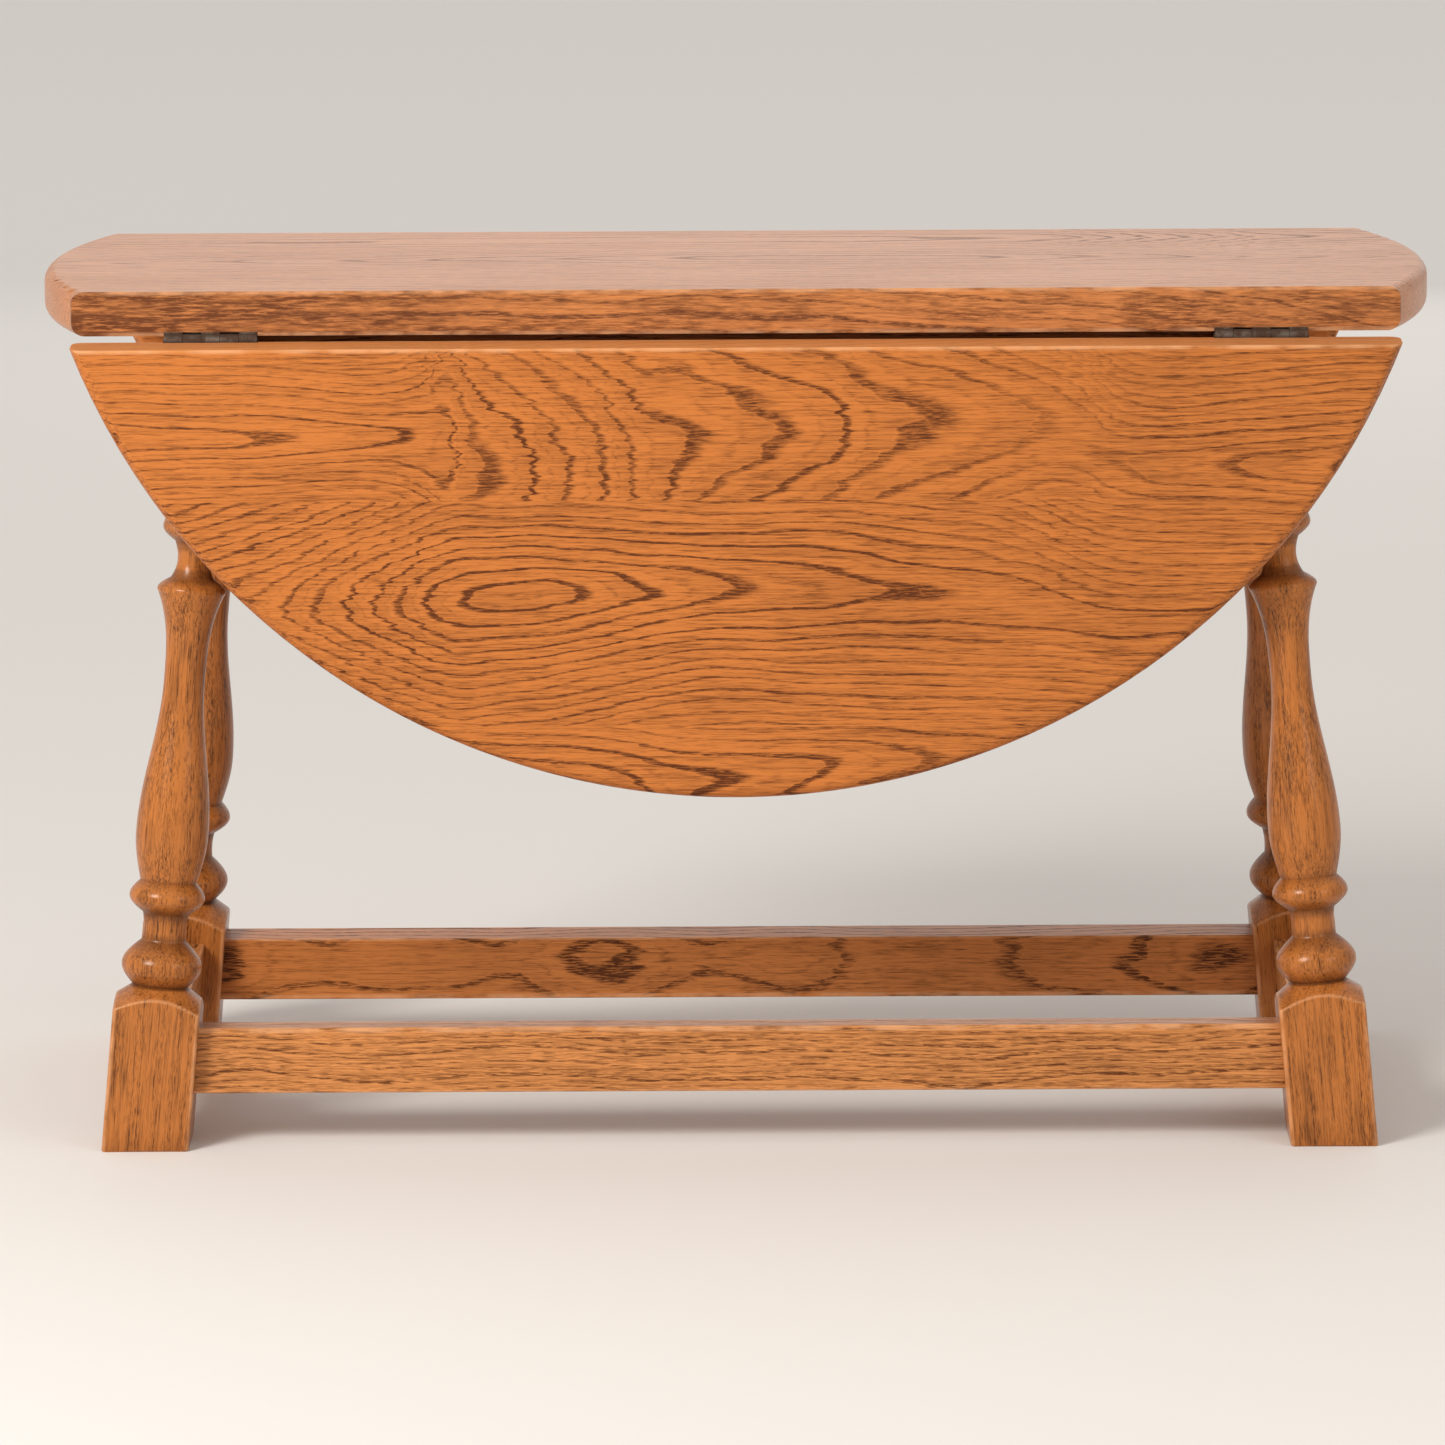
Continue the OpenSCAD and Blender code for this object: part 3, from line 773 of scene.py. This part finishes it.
def flare(a, b, waist, wide):
    """The widening from radius waist at height a to radius wide at height b."""
    u = np.linspace(0, 1, 32)[1:]
    return a + (b - a) * u, waist + (wide - waist) * u ** 3


def turned_outline():
    """Heights and radii of the turned part, from the lower block up to the upper one."""
    parts = [
        half_bead(86.3, 98.5, 14.2, 21.9, True), half_bead(98.5, 111.5, 21.9, 12.6, False),
        hollow(112, 126.5, 12.2, 11.7, 12.4),
        half_bead(127, 136, 12.6, 20.6, True), half_bead(136, 144.6, 20.6, 15.2, False),
        half_bead(145, 171, 15.4, 19.7, True), sweep(171, 255, 19.7, 11.1),
        flare(255, 304, 11.1, 18.7), half_bead(304, 310.5, 18.7, 11.8, False),
        hollow(311, 330, 11.5, 8.8, 10.8),
        half_bead(330.4, 338, 10.9, 18.1, True),
        half_bead(338, BLOCK_HIGH + 1, 18.1, 14.2, False),
    ]
    heights, radii = (np.concatenate(c) for c in zip(*parts))
    keep = np.concatenate([[True], np.diff(heights) > 1e-6])
    return heights[keep], radii[keep]


def soft_least(a, b, blend):
    """The lesser of two, rounded over where they are closer than blend."""
    share = np.clip(0.5 + 0.5 * (b - a) / blend, 0, 1)
    return b + (a - b) * share - blend * share * (1 - share)


def square_radius(angles, half, corner):
    """Distance from the middle of a square with rounded corners to its edge."""
    c, s = np.abs(np.cos(angles)), np.abs(np.sin(angles))
    flat = half / np.maximum(c, s)
    inner = half - corner
    b = inner * (c + s)
    curved = b + np.sqrt(np.maximum(b * b - (2 * inner ** 2 - corner ** 2), 0))
    in_corner = (flat * np.minimum(c, s)) > inner
    return np.where(in_corner, curved, flat)


def leg_rows(outline_t):
    """Heights of the leg's rows of vertices, with many across the mouldings."""
    shoulder = np.arange(0, SHOULDER_H + 2.2, 0.7)
    low = np.concatenate([[0, FOOT_EASE, 12, 30, 50, 64], BLOCK_LOW - shoulder[::-1]])
    high = np.concatenate([BLOCK_HIGH + shoulder, [372, 392, 415, 432, LEG_LEN]])
    middle = outline_t[(outline_t > BLOCK_LOW + 0.2) & (outline_t < BLOCK_HIGH - 0.2)]
    return np.concatenate([low, middle, high])


def leg_angles():
    """Angles of a row's vertices, closer together round a block's corners."""
    quarter = np.concatenate([np.linspace(0, 0.66, 9), np.linspace(0.70, 0.87, 7),
                              np.linspace(0.91, 1.57, 9)[:-1]])
    return np.concatenate([quarter + k * math.pi / 2 for k in range(4)])


def leg_radii(rows, angles, turned):
    """Radius of each vertex, and how much it is rubbed pale with a painted highlight: turned
    between the square blocks, with the cone that the lathe cuts across each block's shoulder."""
    square = square_radius(angles, HALF_SIDE, CORNER_R)
    slope = (SHOULDER_OUT - SHOULDER_IN) / SHOULDER_H
    radii = np.zeros((len(rows), len(angles)))
    edge = np.zeros_like(radii)
    for i, t in enumerate(rows):
        inside = max(BLOCK_LOW - t, t - BLOCK_HIGH)
        if inside < -0.01:
            radii[i] = turned[i]
            continue
        cone = np.full_like(square, SHOULDER_IN + slope * inside)
        block = soft_least(square, cone, SHOULDER_BLEND)
        radii[i] = np.maximum(block, turned[i])
        # The shoulder's arris rubbed pale, with a painted highlight
        edge[i] = np.clip(1 - np.abs(square - cone) / SHOULDER_WEAR_AND_HIGHLIGHT, 0, 1) * 0.8
    radii[0] -= FOOT_EASE
    return radii, edge


def quirk_dirt_and_shade(rows, radii):
    """Dirt and painted shade in quirks: places much lower than the highest moulding nearby."""
    near = np.abs(rows[:, None] - rows[None, :]) < QUIRK_REACH
    mean = radii.mean(1)
    proud = np.where(near, mean[None, :], 0).max(1)
    sunk = np.clip((proud - mean - 2.0) / 6, 0, 1)
    is_turned = (rows > BLOCK_LOW - 1) & (rows < BLOCK_HIGH + 1)
    return np.repeat((sunk * is_turned)[:, None] * 0.9, radii.shape[1], 1)


def leg_points(rows, angles, radii, lean):
    """Vertices in the leg's own axes. The foot and the top are cut level, so the plain
    parts of the blocks are sheared."""
    x, y = radii * np.cos(angles), radii * np.sin(angles)
    t = np.repeat(rows[:, None], len(angles), 1)
    foot_cut = -(lean[2, 0] * x + lean[2, 1] * y) / lean[2, 2]
    head_cut = (UNDER_Z - lean[2, 0] * x - lean[2, 1] * y) / lean[2, 2] - LEG_LEN
    foot_share = np.clip(1 - t / PLAIN_LOW, 0, 1)
    head_share = np.clip((t - PLAIN_HIGH) / (LEG_LEN - PLAIN_HIGH), 0, 1)
    t = t + foot_cut * foot_share + head_cut * head_share
    return np.stack([x, y, t], -1).reshape(-1, 3)


def tube_faces(up, around):
    """Quads between rows of vertices, and a face at each end."""
    index = np.arange(around * up).reshape(up, around)
    quads = np.stack([index[:-1], np.roll(index[:-1], -1, 1),
                      np.roll(index[1:], -1, 1), index[1:]], -1).reshape(-1, 4)
    return quads.tolist() + [index[0][::-1].tolist(), index[-1].tolist()]


def build_leg(side, end, number):
    """A leg, leaning outwards both ways from its foot's middle on the floor."""
    sx, sy = ENDS[end], SIDES[side]
    outline_t, outline_r = turned_outline()
    rows, angles = leg_rows(outline_t), leg_angles()
    turned = np.interp(rows, outline_t, outline_r, left=0, right=0)
    radii, edge = leg_radii(rows, angles, turned)
    lean = np.array(Matrix.Rotation(math.radians(-sx * SPLAY_X), 3, "Y")
                    @ Matrix.Rotation(math.radians(sy * SPLAY_Y), 3, "X"))
    local = leg_points(rows, angles, radii, lean)
    world = (local @ lean.T + np.array([sx * FOOT_X, sy * FOOT_Y, 0])) * MM

    mesh = bpy.data.meshes.new("leg")
    mesh.from_pydata(world.tolist(), [], tube_faces(len(rows), len(angles)))
    for polygon in mesh.polygons:
        polygon.use_smooth = True
    mesh.set_sharp_from_angle(angle=LEG_SMOOTH_BELOW)
    # Each leg is cut from another place in the log
    pith = (sx * 19.0 + number * 3.0, -31.0 + number * 2.0, 30.0 + number * 5.0)
    # With the shoulders' arrises rubbed pale with a painted highlight, and the quirks' dirt and
    # painted shade
    stamp(mesh, np.stack([local[:, 2], local[:, 0], local[:, 1]], 1), pith,
          edge.ravel(), quirk_dirt_and_shade(rows, radii).ravel())
    piece = bpy.data.objects.new("leg", mesh)
    scene.collection.objects.link(piece)
    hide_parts(f"leg_{side}_{end}")
    put(piece, f"leg_{side}_{end}_oak", mat_leg)


def dress_metal():
    """The metal parts are shown as the CAD made them, each with its own finish."""
    finishes = (("hinge_", mat_hinge, "hinge_steel"),
                ("board_hinge", mat_screw, "screw_steel"),
                ("leaf_hinge", mat_screw, "screw_steel"),
                ("pivot_bolt", mat_bolt, "bolt_steel"),
                ("pivot_washers", mat_bolt, "bolt_steel"),
                ("pivot_insert", mat_brass, "insert_brass"))
    for name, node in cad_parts.items():
        for start, material, slot in finishes:
            if name.startswith(start):
                node.data.materials.clear()
                node.data.materials.append(material)


build_board()
build_leaf("front", mat_leaf_front)
build_leaf("rear", mat_leaf_rear)
build_rails()
for number, (side, end) in enumerate(CORNERS):
    build_leg(side, end, number)
dress_metal()


# ---- Floor, light and camera ---------------------------------------------------------------

FLOOR_NEAR, FLOOR_FAR = (0.77, 0.75, 0.725, 1), (0.92, 0.90, 0.88, 1)


def build_floor():
    """A plain pale floor, far wider than any view of the table."""
    bpy.ops.mesh.primitive_plane_add(size=60.0, location=(0, 0, 0))
    floor = bpy.context.object
    floor.name = "floor"
    material, tree, shader = new_material("floor_pale")
    # Paler far away, where the lamps don't reach
    x, y, _ = parts_of(tree, tree.nodes.new("ShaderNodeTexCoord").outputs["Object"])
    far = (x * x + y * y).sqrt().ramp(0.8, 5.0)
    plug(tree, shader.inputs["Base Color"], colour_mix(tree, far, FLOOR_NEAR, FLOOR_FAR))
    shader.inputs["Roughness"].default_value = 0.75
    floor.data.materials.append(material)


def add_light(name, place, target, size, watts, colour):
    """A round lamp, its size in metres, that the camera doesn't see."""
    data = bpy.data.lights.new(name, "AREA")
    data.shape, data.size, data.energy, data.color = "DISK", size, watts, colour
    lamp = bpy.data.objects.new(name, data)
    lamp.location = place
    lamp.rotation_euler = (Vector(target) - Vector(place)).to_track_quat("-Z", "Y").to_euler()
    lamp.visible_camera = False
    scene.collection.objects.link(lamp)


def add_world():
    world = bpy.data.worlds.new("studio")
    world.use_nodes = True
    sky = world.node_tree.nodes["Background"]
    sky.inputs["Color"].default_value = (0.80, 0.765, 0.73, 1)
    sky.inputs["Strength"].default_value = 0.82
    scene.world = world


def add_camera():
    """From the front, a little above the top, with a long lens."""
    data = bpy.data.cameras.new("camera")
    data.sensor_width = 36.0
    data.lens = 214.5
    camera = bpy.data.objects.new("camera", data)
    scene.collection.objects.link(camera)
    camera.matrix_world = (
        Matrix.Translation((0, -4.718, 1.050))
        @ Matrix.Rotation(math.radians(0.103), 4, "Z")
        @ Matrix.Rotation(math.radians(90 - 10.113), 4, "X")
        @ Matrix.Rotation(math.radians(-0.29), 4, "Z"))
    scene.camera = camera


build_floor()
add_light("key", (-2.0, -2.3, 2.1), (0, 0, 0.25), 1.3, 98, (1.0, 0.97, 0.92))
add_light("fill", (2.3, -2.4, 1.5), (0, 0, 0.25), 1.6, 13, (1.0, 0.98, 0.95))
add_light("back", (0.3, 3.2, 1.35), (0, 0, 0.4), 2.6, 5.0, (1.0, 0.985, 0.95))
add_world()
add_camera()
scene.view_settings.view_transform = "Standard"
